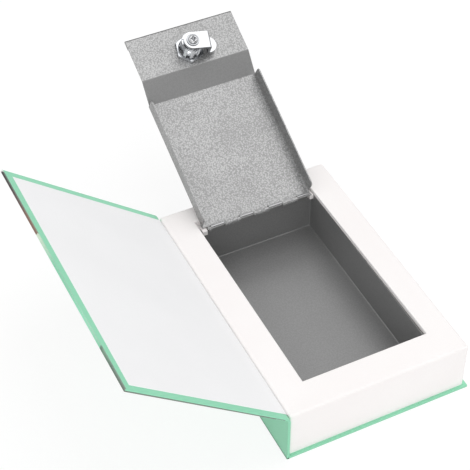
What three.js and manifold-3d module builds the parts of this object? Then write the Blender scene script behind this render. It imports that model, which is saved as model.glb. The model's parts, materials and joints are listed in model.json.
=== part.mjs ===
// Book diversion safe: a case-bound dummy book around a folded steel box with a cam lock.
// Millimetres. +X runs from the spine to the fore edge, +Y from the tail to the head, +Z up.
// The origin is the centre of the back cover's bottom face.
// The book lies on its back cover, with the front cover raised and the steel lid thrown open.

import * as THREE from 'three';
import { mergeVertices } from 'three/addons/utils/BufferGeometryUtils.js';
import Module from 'manifold-3d';

// Book as a whole
const book_height = 240;              // tail edge to head edge
const cover_width = 160;              // spine face to fore edge
const block_top_height = 47;          // table to the top of the page block
const cover_square = 2.5;             // how far a cover stands past the page block

// Case: boards wrapped in printed paper
const wrap_thickness = 0.25;          // printed cover paper
const endpaper_thickness = 0.25;      // white paper inside a cover
const board_thickness = 1.45;         // board of the two covers
const spine_board_thickness = 1.6;    // board of the spine
const paste_gap = 0.15;               // paste between two glued sheets
const spine_lining_thickness = 0.25;  // paper between spine board and page block, up to the joint
const back_border_width = 4.5;        // turned-in paper left showing inside the back cover
const tail_border_width = 5.5;        // the same inside the front cover, at the tail
const head_border_width = 6.4;        // at the head
const fore_border_width = 5.9;        // at the fore edge, by the tail
const fore_border_spread = 1.6;       // how much wider the fore border is at the head

// Cover joint
const joint_inset = 1.9;              // spine face to the line that the front cover turns about
const closed_cover_clearance = 0.3;   // page block to the inside of the closed front cover
const endpaper_joint_gap = 0.3;       // joint line to the endpaper
const lining_joint_gap = 0.35;        // joint line down to the top of the spine lining
const wrap_joint_gap = 1.2;           // joint line to the outer paper of the front cover
const board_joint_gap = 4;            // joint line to the front board, the width of the groove
const front_cover_overhang = 2.8;     // closed front cover past the fore edge of the back cover
const spine_drop = 3.4;               // joint line down to the top of the spine
const cover_raise_angle = 39.3;       // degrees: open cover above the horizontal, spine side

// Page block: a moulded white shell with a well for the steel box
const block_wall = 2.4;
const block_edge_radius = 2.2;
const well_skirt = 2;                 // wall that hangs down around the well
const well_clearance = 0.4;           // steel box to the wall of the well
const opening_lean = 1.7;             // how far the opening's fore side leans in at its head end

// Steel box
const sheet = 1;                      // steel sheet of box and lid
const box_inner_width = 105.2;
const box_inner_length = 183;
const box_shift_fore = 1.1;           // box centre towards the fore edge of the book
const box_shift_head = 1.5;           // box centre towards the head of the book
const box_rim_drop = 4;               // top of the page block down to the rim of the side walls
const box_floor_gap = 0.1;            // endpaper to the bottom of the box
const keeper_width = 6;               // lip of the tail wall, folded inwards

// Hinge of the steel lid
const pin_radius = 1;
const pin_clearance = 0.25;           // hinge pin to the inside of a knuckle
const pin_end_inset = 0.5;            // side edge of the lid to the pin end
const hinge_setback = 4;              // pin axis to the inside of the head wall
const hinge_drop = 2.6;               // top of the page block down to the pin axis
const box_knuckle_width = 12;
const knuckle_count = 4;              // knuckles on the box, and as many on the lid
const first_notch_offset = 6.5;       // spine side of the lid to the first notch
const last_notch_offset = 1.5;        // fore side of the lid to the last notch
const knuckle_side_clearance = 0.3;   // between neighbouring knuckles
const notch_clearance = 0.6;          // round a knuckle, to the sheet that passes it
const knuckle_sweep = 240;            // degrees of roll round the pin
const lid_open_angle = 152.45;        // degrees from closed to resting open
const lid_stop_clearance = 0.3;       // open lid to the page block that stops it

// Steel lid
const lid_side_clearance = 1.8;       // flange to the side wall of the box
const lid_end_clearance = 0.8;        // free end to the tail side of the opening
const lock_panel_length = 39.6;       // free end to the step in the lid
const riser_run = 20;                 // length of the step
const riser_drop = 9.08;              // depth of the step
const keeper_clearance = 0.3;         // lock panel to the lip it lies on
const hem_length = 8;                 // doubled free edge
const flange_depth = 12.7;            // side flange below the inner face
const flange_hinge_gap = 4.5;         // pin axis to the flange
const flange_riser_gap = 0.6;         // flange to the step
const flange_corner = 3;              // cut corner of the flange
const crease_offset = 19;             // pin axis to the pressed crease
const crease_width = 1.2;
const crease_depth = 0.3;

// Cam lock, measured from the inner face of the lock panel
const lock_seat_gap = 0.3;            // between clamped pieces
const lock_turn_clearance = 0.3;      // between turning pieces
const lock_head_overhang = 1.2;       // head past the barrel all round
const lock_head_height = 3;
const barrel_radius = 9.3;
const barrel_flat_half = 8;           // axis to a flat of the barrel
const barrel_length = 15;             // past the inner face
const nut_wall = 1.65;                // thinnest wall of the nut, at a flat
const nut_height = 3;
const nut_chamfer = 1.3;
const nut_sides = 6;
const nut_turn = 17.8;                // degrees that the nut stands turned
const plug_radius = 6.2;
const plug_flange_step = 1.4;
const plug_flange_height = 1.2;
const plug_square = 6.5;
const keyway_width = 2.2;
const keyway_height = 7.6;
const wafer_count = 5;
const wafer_thickness = 0.8;
const wafer_width = 4.4;
const wafer_inset = 0.2;              // ends of a wafer below the surface of the plug
const wafer_pitch = 2.3;
const wafer_key_width = 2.6;
const wafer_key_height = 6.4;
const first_wafer_setback = 2.8;      // face of the lock head to the first wafer
const stop_washer_radius = 6.8;
const stop_washer_thickness = 0.8;
const stop_tab_width = 4;
const stop_tab_inset = 0.2;           // end of the tab inside the barrel's outer surface
const stop_rim_slack = 2;             // degrees between the tab and the end of the rim
const lock_turn_angle = 90;           // degrees from unlocked to locked
const cam_thickness = 2.2;
const cam_half_width = 7.7;
const cam_tip_radius = 7.5;
const cam_tip_reach = 7.2;            // tip past the outer face of the crank
const cam_nut_clearance = 0.3;        // crank to the corner of the nut
const cam_tip_clearance = 2;          // tip to the height of the nut
const cam_wall_clearance = 1.4;       // locked tip to the tail wall of the box
const cam_rest_angle = 12;            // degrees past crosswise, towards the hinge
const latch_clearance = 0.4;          // cam tip to the folded edge it catches under
const cam_washer_radius = 5.4;
const cam_washer_thickness = 0.7;
const screw_radius = 2;
const screw_clearance = 0.3;          // screw shank to its holes
const screw_head_radius = 4.3;
const screw_head_height = 2;
const screw_length = 8;
const screw_end_clearance = 0.8;
const cross_slot_width = 1;
const cross_slot_length = 5;
const cross_slot_depth = 1.2;

// Modelling
const overrun = 1;                    // how far a cutting shape runs past the face it cuts
const round_steps = 36;               // facets of a full circle
const edge_steps = 3;                 // facets of a small rounded edge

// Sizes that follow
const layers_below_endpaper = wrap_thickness + paste_gap + board_thickness + paste_gap;
const cover_thickness = layers_below_endpaper + endpaper_thickness;
const half_height = book_height / 2;
const spine_face_x = -cover_width / 2;
const fore_edge_x = cover_width / 2;
const spine_thickness =
  wrap_thickness + spine_board_thickness + spine_lining_thickness + 3 * paste_gap;
const block_spine_x = spine_face_x + spine_thickness;
const block_fore_x = fore_edge_x - cover_square;
const block_half_height = half_height - cover_square;
const joint_x = spine_face_x + joint_inset;
const joint_z = block_top_height + closed_cover_clearance;
const front_cover_reach = fore_edge_x + front_cover_overhang - joint_x;
const spine_top_z = joint_z - spine_drop;

const box_left_x = box_shift_fore - box_inner_width / 2;
const box_right_x = box_shift_fore + box_inner_width / 2;
const box_tail_y = box_shift_head - box_inner_length / 2;
const box_head_y = box_shift_head + box_inner_length / 2;
const box_rim_height = block_top_height - box_rim_drop;
const box_bottom_z = cover_thickness + box_floor_gap;
const box_floor_z = box_bottom_z + sheet;

const knuckle_inner = pin_radius + pin_clearance;
const knuckle_outer = knuckle_inner + sheet;
const knuckle_reach = knuckle_outer + notch_clearance;
const hinge_y = box_head_y - hinge_setback;
const hinge_z = block_top_height - hinge_drop;

const open_tilt = THREE.MathUtils.degToRad(180 - lid_open_angle);
const opening_left_x = box_left_x - sheet - well_clearance;
const opening_right_x = box_right_x + sheet + well_clearance;
const opening_tail_y = box_tail_y - sheet - well_clearance;
const well_head_y = box_head_y + sheet + well_clearance;
const lid_back_offset = (knuckle_outer + lid_stop_clearance) / Math.sin(open_tilt);
const opening_head_y = hinge_y + lid_back_offset + (block_top_height - hinge_z) / Math.tan(open_tilt);

const lid_half_width = box_inner_width / 2 - lid_side_clearance;
const lid_length = hinge_y - opening_tail_y - lid_end_clearance;
const riser_start = lid_length - lock_panel_length - riser_run;
const notch_width = box_knuckle_width + 2 * knuckle_side_clearance;
const last_notch = 2 * lid_half_width - last_notch_offset - notch_width;
const notch_pitch = (last_notch - first_notch_offset) / (knuckle_count - 1);
const lid_inner_z = knuckle_inner;
const lock_panel_z = lid_inner_z - riser_drop;
const keeper_top_z = hinge_z + lock_panel_z - keeper_clearance;

const nut_bore = barrel_radius + lock_seat_gap;
const nut_corner = (nut_bore + nut_wall) / Math.cos(Math.PI / nut_sides);
const nut_top = lock_seat_gap + nut_height;
const cam_web_reach = nut_corner + cam_nut_clearance + cam_thickness;
const cam_tip_centre = cam_web_reach + cam_tip_reach - cam_tip_radius;
const cam_tip_depth = nut_top + cam_tip_clearance;
const latch_edge_z = hinge_z + lock_panel_z - cam_tip_depth + latch_clearance;
const lock_y = box_tail_y - hinge_y + cam_web_reach + cam_tip_reach + cam_wall_clearance;

const stop_washer_start = barrel_length + lock_turn_clearance;
const cam_hub_start = stop_washer_start + stop_washer_thickness + lock_seat_gap;
const cam_hub_end = cam_hub_start + cam_thickness;
const cam_washer_start = cam_hub_end + lock_seat_gap;
const screw_seat = cam_washer_start + cam_washer_thickness + lock_seat_gap;
const lock_head_back = -sheet - lock_seat_gap;
const lock_head_front = lock_head_back - lock_head_height;

const wasm = await Module();
wasm.setup();

// A closed three.js geometry as a solid that can be cut and joined
function solidFrom(geometry) {
  const bare = geometry.clone();
  bare.deleteAttribute('normal');
  bare.deleteAttribute('uv');
  const merged = mergeVertices(bare);
  return new wasm.Manifold(new wasm.Mesh({
    numProp: 3,
    vertProperties: new Float32Array(merged.attributes.position.array),
    triVerts: new Uint32Array(merged.index.array),
  }));
}

// The solid as a geometry with flat faces
function geometryFrom(solid) {
  const mesh = solid.getMesh();
  const geometry = new THREE.BufferGeometry();
  geometry.setAttribute('position', new THREE.BufferAttribute(mesh.vertProperties, 3));
  geometry.setIndex(new THREE.BufferAttribute(mesh.triVerts, 1));
  const flat = geometry.toNonIndexed();
  flat.computeVertexNormals();
  return flat;
}

// A block between two corners
function block(x0, x1, y0, y1, z0, z1) {
  const geometry = new THREE.BoxGeometry(Math.abs(x1 - x0), Math.abs(y1 - y0), Math.abs(z1 - z0));
  geometry.translate((x0 + x1) / 2, (y0 + y1) / 2, (z0 + z1) / 2);
  return solidFrom(geometry);
}

// A disc or bar round the Z axis
function disc(radius, z0, z1) {
  const geometry = new THREE.CylinderGeometry(radius, radius, z1 - z0, round_steps);
  geometry.rotateX(Math.PI / 2);
  geometry.translate(0, 0, (z0 + z1) / 2);
  return solidFrom(geometry);
}

// A ring round the Z axis, from its section as radius and height, named anticlockwise
function turned(profile) {
  const points = [...profile, profile[0]].map(([radius, z]) => new THREE.Vector2(radius, z));
  const geometry = new THREE.LatheGeometry(points, round_steps);
  geometry.rotateX(Math.PI / 2);
  return solidFrom(geometry);
}

// A flat outline in X and Y, raised from z0 to z1
function plate(points, z0, z1) {
  const shape = new THREE.Shape(points.map(([x, y]) => new THREE.Vector2(x, y)));
  const geometry = new THREE.ExtrudeGeometry(shape, { depth: z1 - z0, bevelEnabled: false });
  geometry.translate(0, 0, z0);
  return solidFrom(geometry);
}

// An outline in Y and Z, drawn along X from x0 to x1
function section(points, x0, x1) {
  const shape = new THREE.Shape(points.map(([y, z]) => new THREE.Vector2(y, z)));
  const geometry = new THREE.ExtrudeGeometry(shape, { depth: x1 - x0, bevelEnabled: false });
  geometry.rotateY(Math.PI / 2);
  geometry.rotateX(Math.PI / 2);
  geometry.translate(x0, 0, 0);
  return solidFrom(geometry);
}

function finish(colour, roughness, metalness) {
  return new THREE.MeshStandardMaterial({ color: colour, roughness, metalness });
}

const finishes = {
  cover_paper: finish('#8fdcba', 0.55, 0),
  white_paper: finish('#f1f1f3', 0.8, 0),
  greyboard: finish('#9a9288', 0.9, 0),
  white_shell: finish('#f9f6f4', 0.6, 0),
  powder_coat: finish('#8c8c8e', 0.55, 0.1),
  zinc: finish('#c9ccd0', 0.3, 1),
  chrome: finish('#e6e8ea', 0.12, 1),
  brass: finish('#b59a5a', 0.35, 1),
};

// One named piece of the object
function piece(name, solid, material) {
  const mesh = new THREE.Mesh(geometryFrom(solid), material);
  mesh.name = name;
  return mesh;
}

// A cover lies outer face down, with its joint at x = 0 and its fore edge at side times reach.
// The paper folds up over the tail, head and fore edges of the board and turns in on top.
function coverWrap(side, reach, sheetStart, boardStart, endpaper) {
  const boardEnd = reach - wrap_thickness;
  const boardHalf = half_height - wrap_thickness;
  const foldStart = boardStart - paste_gap;
  const sheetOnly = block(
    side * (sheetStart - overrun), side * foldStart,
    -half_height - overrun, half_height + overrun,
    wrap_thickness, cover_thickness + overrun);
  const pocket = block(
    side * (sheetStart - overrun), side * boardEnd,
    -boardHalf, boardHalf,
    wrap_thickness, cover_thickness - endpaper_thickness);
  const folded = block(
    side * sheetStart, side * reach, -half_height, half_height, 0, cover_thickness);
  return folded.subtract(sheetOnly).subtract(pocket).subtract(endpaper);
}

function coverBoard(side, reach, boardStart) {
  const end = reach - wrap_thickness - paste_gap;
  const half = half_height - wrap_thickness - paste_gap;
  const bottom = wrap_thickness + paste_gap;
  return block(side * boardStart, side * end, -half, half, bottom, bottom + board_thickness);
}

// The endpaper's outline, let out by margin to cut its window in the turned-in paper
function endpaperPlate(side, reach, start, borders, margin, z0, z1) {
  const tail = borders.tail - margin - half_height;
  const head = half_height - borders.head + margin;
  return plate([
    [side * (start - margin), tail],
    [side * (reach - borders.fore + margin), tail],
    [side * (reach - borders.fore - borders.fore_spread + margin), head],
    [side * (start - margin), head],
  ], z0, z1);
}

function coverPieces(name, side, reach, sheetStart, boardStart, paperStart, borders, group) {
  const top = cover_thickness;
  const window = endpaperPlate(
    side, reach, paperStart - overrun, borders, paste_gap,
    layers_below_endpaper - paste_gap, top + overrun);
  const paper = endpaperPlate(side, reach, paperStart, borders, 0, layers_below_endpaper, top);
  group.add(piece(
    `${name}_cover_wrap`, coverWrap(side, reach, sheetStart, boardStart, window), finishes.cover_paper));
  group.add(piece(`${name}_board`, coverBoard(side, reach, boardStart), finishes.greyboard));
  group.add(piece(`${name}_endpaper`, paper, finishes.white_paper));
}

// Spine: the cover paper folds over the tail and head ends of the spine board
function spinePieces(group) {
  const top = spine_top_z;
  const boardX = spine_face_x + wrap_thickness + paste_gap;
  const boardEnd = boardX + spine_board_thickness;
  const half = half_height - wrap_thickness;
  const folded = block(spine_face_x, boardEnd, -half_height, half_height, wrap_thickness, top);
  const pocket = block(
    spine_face_x + wrap_thickness, boardEnd + overrun,
    -half, half, 0, top + overrun);
  const board = block(
    boardX, boardEnd, -half + paste_gap, half - paste_gap, wrap_thickness + paste_gap, top);
  const lining = block(
    boardEnd + paste_gap, boardEnd + paste_gap + spine_lining_thickness,
    -block_half_height, block_half_height, cover_thickness + paste_gap, joint_z - lining_joint_gap);
  group.add(piece('spine_wrap', folded.subtract(pocket), finishes.cover_paper));
  group.add(piece('spine_board', board, finishes.greyboard));
  group.add(piece('spine_lining', lining, finishes.white_paper));
}

// Page block: a shell with rounded top edges, open below, and a well for the steel box.
// Behind the box a ledge carries on at rim height, so that the open lid passes over it.
function pageBlock() {
  const round = block_edge_radius;
  const outline = new THREE.Shape([
    new THREE.Vector2(block_spine_x + round, -block_half_height + round),
    new THREE.Vector2(block_fore_x - round, -block_half_height + round),
    new THREE.Vector2(block_fore_x - round, block_half_height - round),
    new THREE.Vector2(block_spine_x + round, block_half_height - round),
  ]);
  const rounded = new THREE.ExtrudeGeometry(outline, {
    depth: block_top_height - round,
    bevelEnabled: true,
    bevelThickness: round,
    bevelSize: round,
    bevelSegments: edge_steps,
  });
  const base = cover_thickness;
  const outside = solidFrom(rounded).subtract(block(
    spine_face_x - overrun, fore_edge_x + overrun,
    -half_height - overrun, half_height + overrun, -round - overrun, base));
  const well = block(
    opening_left_x, opening_right_x, opening_tail_y, well_head_y,
    base - overrun, block_top_height - block_wall);
  const opening = plate([
    [opening_left_x, opening_tail_y],
    [opening_right_x, opening_tail_y],
    [opening_right_x - opening_lean, opening_head_y],
    [opening_left_x, opening_head_y],
  ], box_rim_height, block_top_height + overrun);
  const cavity = block(
    block_spine_x + block_wall, block_fore_x - block_wall,
    -block_half_height + block_wall, block_half_height - block_wall,
    base - overrun, block_top_height - block_wall);
  const skirt = block(
    opening_left_x - well_skirt, opening_right_x + well_skirt,
    opening_tail_y - well_skirt, well_head_y + well_skirt,
    base - overrun, block_top_height);
  const ledge = block(
    opening_left_x - well_skirt, opening_right_x + well_skirt,
    well_head_y, opening_head_y + well_skirt,
    box_rim_height - block_wall, block_top_height);
  return outside.subtract(cavity.subtract(skirt).subtract(ledge)).subtract(well).subtract(opening);
}

// A sheet rolled round the pin: it comes in along its tangent at start and sweeps on by sweep degrees
function rollPoints(start, sweep) {
  const steps = Math.ceil(round_steps * Math.abs(sweep) / 360);
  const along = (radius, i) => {
    const angle = THREE.MathUtils.degToRad(start + sweep * i / steps);
    return [radius * Math.cos(angle), radius * Math.sin(angle)];
  };
  const lead = (radius) => {
    const angle = THREE.MathUtils.degToRad(start);
    const back = -Math.sign(sweep) * overrun;
    return [
      radius * Math.cos(angle) - back * Math.sin(angle),
      radius * Math.sin(angle) + back * Math.cos(angle),
    ];
  };
  const outer = Array.from({ length: steps + 1 }, (_, i) => along(knuckle_outer, i));
  const inner = Array.from({ length: steps + 1 }, (_, i) => along(knuckle_inner, steps - i));
  return [lead(knuckle_outer), ...outer, ...inner, lead(knuckle_inner)];
}

// Left edge of each notch in the lid, where a knuckle of the box stands
function notchStart(index) {
  return -lid_half_width + first_notch_offset + index * notch_pitch;
}

// Steel box: floor, four walls, a folded keeper lip at the tail, and rolled knuckles at the head
function steelBox() {
  const left = box_left_x - sheet;
  const right = box_right_x + sheet;
  const tail = box_tail_y - sheet;
  const head = box_head_y + sheet;
  const bend_z = hinge_z - knuckle_outer;
  const bend_top = bend_z + sheet;
  const hollow = block(
    box_left_x, box_right_x, box_tail_y, box_head_y, box_floor_z, block_top_height + overrun);
  const lowTail = block(
    box_left_x, box_right_x, tail - overrun, box_tail_y + overrun,
    keeper_top_z, block_top_height + overrun);
  let steel = block(left, right, tail, head, box_bottom_z, box_rim_height);
  steel = steel.subtract(hollow).subtract(lowTail);
  const lip = block(
    box_left_x - sheet / 2, box_right_x + sheet / 2, tail, tail + keeper_width,
    keeper_top_z - sheet, keeper_top_z);
  const latchEdge = block(
    box_left_x - sheet / 2, box_right_x + sheet / 2,
    tail + keeper_width - sheet, tail + keeper_width, latch_edge_z, keeper_top_z);
  const shelf = block(
    box_left_x - sheet / 2, box_right_x + sheet / 2, hinge_y + knuckle_reach, head, bend_z, bend_top);
  steel = steel.add(lip).add(latchEdge).add(shelf);
  const roll = rollPoints(-90, -knuckle_sweep).map(([y, z]) => [hinge_y + y, hinge_z + z]);
  for (let i = 0; i < knuckle_count; i += 1) {
    const x0 = box_shift_fore + notchStart(i) + knuckle_side_clearance;
    const x1 = x0 + box_knuckle_width;
    steel = steel.add(section(roll, x0, x1));
    steel = steel.add(block(x0, x1, hinge_y, head, bend_z, bend_top));
  }
  return steel;
}

function hingePin() {
  const length = 2 * (lid_half_width - pin_end_inset);
  const geometry = new THREE.CylinderGeometry(pin_radius, pin_radius, length, round_steps);
  geometry.rotateZ(Math.PI / 2);
  geometry.translate(box_shift_fore, hinge_y, hinge_z);
  return solidFrom(geometry);
}

// Steel lid in its closed attitude, with the pin axis at the origin and the free end towards -Y
function steelLid() {
  const half = lid_half_width;
  const inner = lid_inner_z;
  const low = lock_panel_z;
  const step = -riser_start;
  const foot = -riser_start - riser_run;
  const end = -lid_length;
  const crease = -crease_offset;
  const sheetLine = [
    [0, inner],
    [crease + crease_width / 2, inner],
    [crease, inner + crease_depth],
    [crease - crease_width / 2, inner],
    [step, inner],
    [foot, low],
    [end, low],
    [end, low + sheet],
    [foot, low + sheet],
    [step, inner + sheet],
    [0, inner + sheet],
  ];
  let lid = section(sheetLine, -half, half);
  lid = lid.add(block(-half, half, end, end + hem_length, low + sheet / 2, low + 2 * sheet));
  const tip = inner - flange_depth;
  const flange = [
    [-flange_hinge_gap, inner + sheet / 2],
    [-flange_hinge_gap, tip + flange_corner],
    [-flange_hinge_gap - flange_corner, tip],
    [step + flange_riser_gap + flange_corner, tip],
    [step + flange_riser_gap, tip + flange_corner],
    [step + flange_riser_gap, inner + sheet / 2],
  ];
  lid = lid.add(section(flange, -half, sheet - half)).add(section(flange, half - sheet, half));
  const roll = rollPoints(90, -knuckle_sweep);
  for (let i = 0; i < knuckle_count; i += 1) {
    const notch = notchStart(i);
    const last = i === knuckle_count - 1;
    const notchEnd = last ? half + overrun : notch + notch_width;
    const rollStart = i === 0 ? -half : notchStart(i - 1) + notch_width;
    lid = lid.subtract(block(
      notch, notchEnd, -knuckle_reach, knuckle_reach, -knuckle_reach, knuckle_reach));
    lid = lid.add(section(roll, rollStart, notch));
  }
  const hole = disc(nut_bore, -overrun, sheet + overrun);
  const flat = barrel_flat_half + lock_seat_gap;
  const flats = block(-flat, flat, -nut_corner, nut_corner, -overrun, sheet + overrun);
  return lid.subtract(hole.intersect(flats).translate([0, lock_y, low]));
}

// Lock pieces stand on the inner face of the lock panel, with +Z away from it, towards the cam

// Head and barrel in one casting, bored for the plug.
// A rim on the barrel's end leaves a gap in which the stop washer's tab can turn.
function lockHousing() {
  const head = disc(barrel_radius + lock_head_overhang, lock_head_front, lock_head_back);
  const barrel = disc(barrel_radius, lock_head_back - overrun, barrel_length);
  const rim = turned([
    [stop_washer_radius + lock_turn_clearance, barrel_length - overrun],
    [barrel_radius, barrel_length - overrun],
    [barrel_radius, stop_washer_start + stop_washer_thickness],
    [stop_washer_radius + lock_turn_clearance, stop_washer_start + stop_washer_thickness],
  ]).subtract(stopSector());
  const flats = block(
    -barrel_flat_half, barrel_flat_half, -barrel_radius - overrun, barrel_radius + overrun,
    lock_head_back - overrun, cam_hub_start);
  const bore = disc(plug_radius + lock_turn_clearance, lock_head_front - overrun, barrel_length + overrun);
  const counterbore = disc(
    plug_radius + plug_flange_step + lock_turn_clearance, lock_head_front - overrun,
    lock_head_front + plug_flange_height + lock_turn_clearance);
  return head.add(barrel.add(rim).intersect(flats)).subtract(bore).subtract(counterbore);
}

// The wedge through which the stop washer's tab turns, from unlocked to locked
function stopSector() {
  const halfTab = Math.asin(stop_tab_width / 2 / stop_washer_radius);
  const slack = THREE.MathUtils.degToRad(stop_rim_slack);
  const first = THREE.MathUtils.degToRad(180 - cam_rest_angle) - halfTab - slack;
  const sweep = THREE.MathUtils.degToRad(lock_turn_angle) + 2 * (halfTab + slack);
  const radius = 2 * barrel_radius;
  const arc = Array.from({ length: edge_steps + 1 }, (_, i) => {
    const angle = first + sweep * i / edge_steps;
    return [radius * Math.cos(angle), radius * Math.sin(angle)];
  });
  return plate([[0, 0], ...arc], barrel_length, cam_hub_start);
}

function lockNut() {
  const points = Array.from({ length: nut_sides }, (_, i) => {
    const angle = THREE.MathUtils.degToRad(nut_turn) + 2 * Math.PI * i / nut_sides;
    return [nut_corner * Math.cos(angle), nut_corner * Math.sin(angle)];
  });
  const chamfered = turned([
    [nut_bore, lock_seat_gap],
    [nut_corner, lock_seat_gap],
    [nut_corner, nut_top - nut_chamfer / 2],
    [nut_corner - nut_chamfer, nut_top],
    [nut_bore, nut_top],
  ]);
  return plate(points, lock_seat_gap, nut_top).intersect(chamfered);
}

// Distance of a wafer's near face from the inner face of the lock panel
function waferDepth(index) {
  return lock_head_front + first_wafer_setback + index * wafer_pitch;
}

// Plug with its front flange, keyway, wafer slots, square tail and screw hole
function keyPlug() {
  const flange = disc(
    plug_radius + plug_flange_step, lock_head_front, lock_head_front + plug_flange_height);
  const body = disc(plug_radius, lock_head_front, barrel_length);
  const half = plug_square / 2;
  const tail = block(-half, half, -half, half, barrel_length - overrun, cam_hub_end - lock_seat_gap);
  const keyway = block(
    -keyway_width / 2, keyway_width / 2, -keyway_height / 2, keyway_height / 2,
    lock_head_front - overrun, waferDepth(wafer_count));
  const screwHole = disc(
    screw_radius + screw_clearance,
    screw_seat - screw_length - screw_end_clearance, cam_hub_end + overrun);
  let plug = flange.add(body).add(tail).subtract(keyway);
  for (let i = 0; i < wafer_count; i += 1) {
    const gap = lock_turn_clearance;
    plug = plug.subtract(block(
      -wafer_width / 2 - gap, wafer_width / 2 + gap, -plug_radius - overrun, plug_radius + overrun,
      waferDepth(i) - gap, waferDepth(i) + wafer_thickness + gap));
  }
  return plug.subtract(screwHole);
}

// Disc tumbler, held level with the plug as the turned key holds it
function wafer(index) {
  const z0 = waferDepth(index);
  const z1 = z0 + wafer_thickness;
  const half = wafer_width / 2;
  const tall = Math.sqrt(plug_radius ** 2 - half ** 2) - wafer_inset;
  const leaf = block(-half, half, -tall, tall, z0, z1);
  const keyHole = block(
    -wafer_key_width / 2, wafer_key_width / 2, -wafer_key_height / 2, wafer_key_height / 2,
    z0 - overrun, z1 + overrun);
  return leaf.subtract(keyHole);
}

function squareHole(z0, z1) {
  const half = plug_square / 2 + lock_seat_gap;
  return block(-half, half, -half, half, z0 - overrun, z1 + overrun);
}

function stopWasher() {
  const z0 = stop_washer_start;
  const z1 = z0 + stop_washer_thickness;
  const tab = block(
    stop_tab_inset - barrel_radius, 0, -stop_tab_width / 2, stop_tab_width / 2, z0, z1);
  return disc(stop_washer_radius, z0, z1).add(tab).subtract(squareHole(z0, z1));
}

// Cranked cam: the hub lies out on the plug's tail, and the round tip lies back near the panel
function cam() {
  const reach = cam_web_reach;
  const half = cam_half_width;
  const hub = disc(cam_half_width, cam_hub_start, cam_hub_end)
    .add(block(0, reach, -half, half, cam_hub_start, cam_hub_end));
  const web = block(
    reach - cam_thickness, reach, -cam_tip_radius, cam_tip_radius, cam_tip_depth, cam_hub_end);
  const tip = disc(cam_tip_radius, cam_tip_depth, cam_tip_depth + cam_thickness)
    .translate([cam_tip_centre, 0, 0]);
  const outside = block(
    reach - cam_thickness, cam_tip_centre + cam_tip_radius + overrun, -half, half,
    cam_tip_depth - overrun, cam_hub_end + overrun);
  return hub.add(web).add(tip.intersect(outside)).subtract(squareHole(cam_hub_start, cam_hub_end));
}

function camWasher() {
  const z1 = cam_washer_start + cam_washer_thickness;
  return disc(cam_washer_radius, cam_washer_start, z1)
    .subtract(disc(screw_radius + screw_clearance, cam_washer_start - overrun, z1 + overrun));
}

function camScrew() {
  const head = disc(screw_head_radius, screw_seat, screw_seat + screw_head_height);
  const shank = disc(screw_radius, screw_seat - screw_length, screw_seat + overrun);
  const top = screw_seat + screw_head_height;
  const long = cross_slot_length / 2;
  const wide = cross_slot_width / 2;
  const depth = top - cross_slot_depth;
  return head.add(shank)
    .subtract(block(-long, long, -wide, wide, depth, top + overrun))
    .subtract(block(-wide, wide, -long, long, depth, top + overrun));
}

// Book at rest on its back cover
const safe = new THREE.Group();
const back = new THREE.Group();
back.position.x = block_spine_x;
const back_borders = {
  tail: back_border_width, head: back_border_width, fore: back_border_width,
  fore_spread: 0,
};
coverPieces(
  'back', 1, fore_edge_x - block_spine_x, spine_face_x - block_spine_x, paste_gap, paste_gap,
  back_borders, back);
safe.add(back);
spinePieces(safe);
safe.add(piece('page_block', pageBlock(), finishes.white_shell));
safe.add(piece('steel_box', steelBox(), finishes.powder_coat));
safe.add(piece('hinge_pin', hingePin(), finishes.zinc));

// Front cover, turned up about its joint
const front = new THREE.Group();
front.position.set(joint_x, 0, joint_z);
front.rotation.y = THREE.MathUtils.degToRad(cover_raise_angle);
const front_case = new THREE.Group();
front_case.position.z = -cover_thickness;
front.add(front_case);
const front_borders = {
  tail: tail_border_width, head: head_border_width, fore: fore_border_width,
  fore_spread: fore_border_spread,
};
coverPieces(
  'front', -1, front_cover_reach, wrap_joint_gap, board_joint_gap, endpaper_joint_gap,
  front_borders, front_case);
safe.add(front);

// Steel lid, thrown open about the hinge pin
const lid = new THREE.Group();
lid.position.set(box_shift_fore, hinge_y, hinge_z);
lid.rotation.x = -THREE.MathUtils.degToRad(lid_open_angle);
lid.add(piece('steel_lid', steelLid(), finishes.powder_coat));
safe.add(lid);

// Lock, through the lock panel
const lock = new THREE.Group();
lock.position.set(0, lock_y, lock_panel_z);
lock.rotation.x = Math.PI;
lock.add(piece('lock_housing', lockHousing(), finishes.zinc));
lock.add(piece('lock_nut', lockNut(), finishes.zinc));
lid.add(lock);

// Pieces that turn with the key
const turning = new THREE.Group();
turning.rotation.z = -THREE.MathUtils.degToRad(cam_rest_angle);
turning.add(piece('key_plug', keyPlug(), finishes.zinc));
for (let i = 0; i < wafer_count; i += 1) {
  turning.add(piece(`wafer_${i + 1}`, wafer(i), finishes.brass));
}
turning.add(piece('stop_washer', stopWasher(), finishes.zinc));
turning.add(piece('cam', cam(), finishes.chrome));
turning.add(piece('cam_washer', camWasher(), finishes.zinc));
turning.add(piece('cam_screw', camScrew(), finishes.chrome));
lock.add(turning);

export default safe;
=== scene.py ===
# %% [markdown]
# A book safe, dressed
#
# The object is a dummy hardback: a paper-covered case around a white page block, a folded steel box
# in the block's well, and a steel lid with a cam lock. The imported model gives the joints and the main
# sizes. This script builds the fine surfaces around it: bent sheet, wrapped boards, threads, coats.

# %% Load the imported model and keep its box
import json
import math

import bmesh
import bpy
from mathutils import Matrix, Vector


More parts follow.
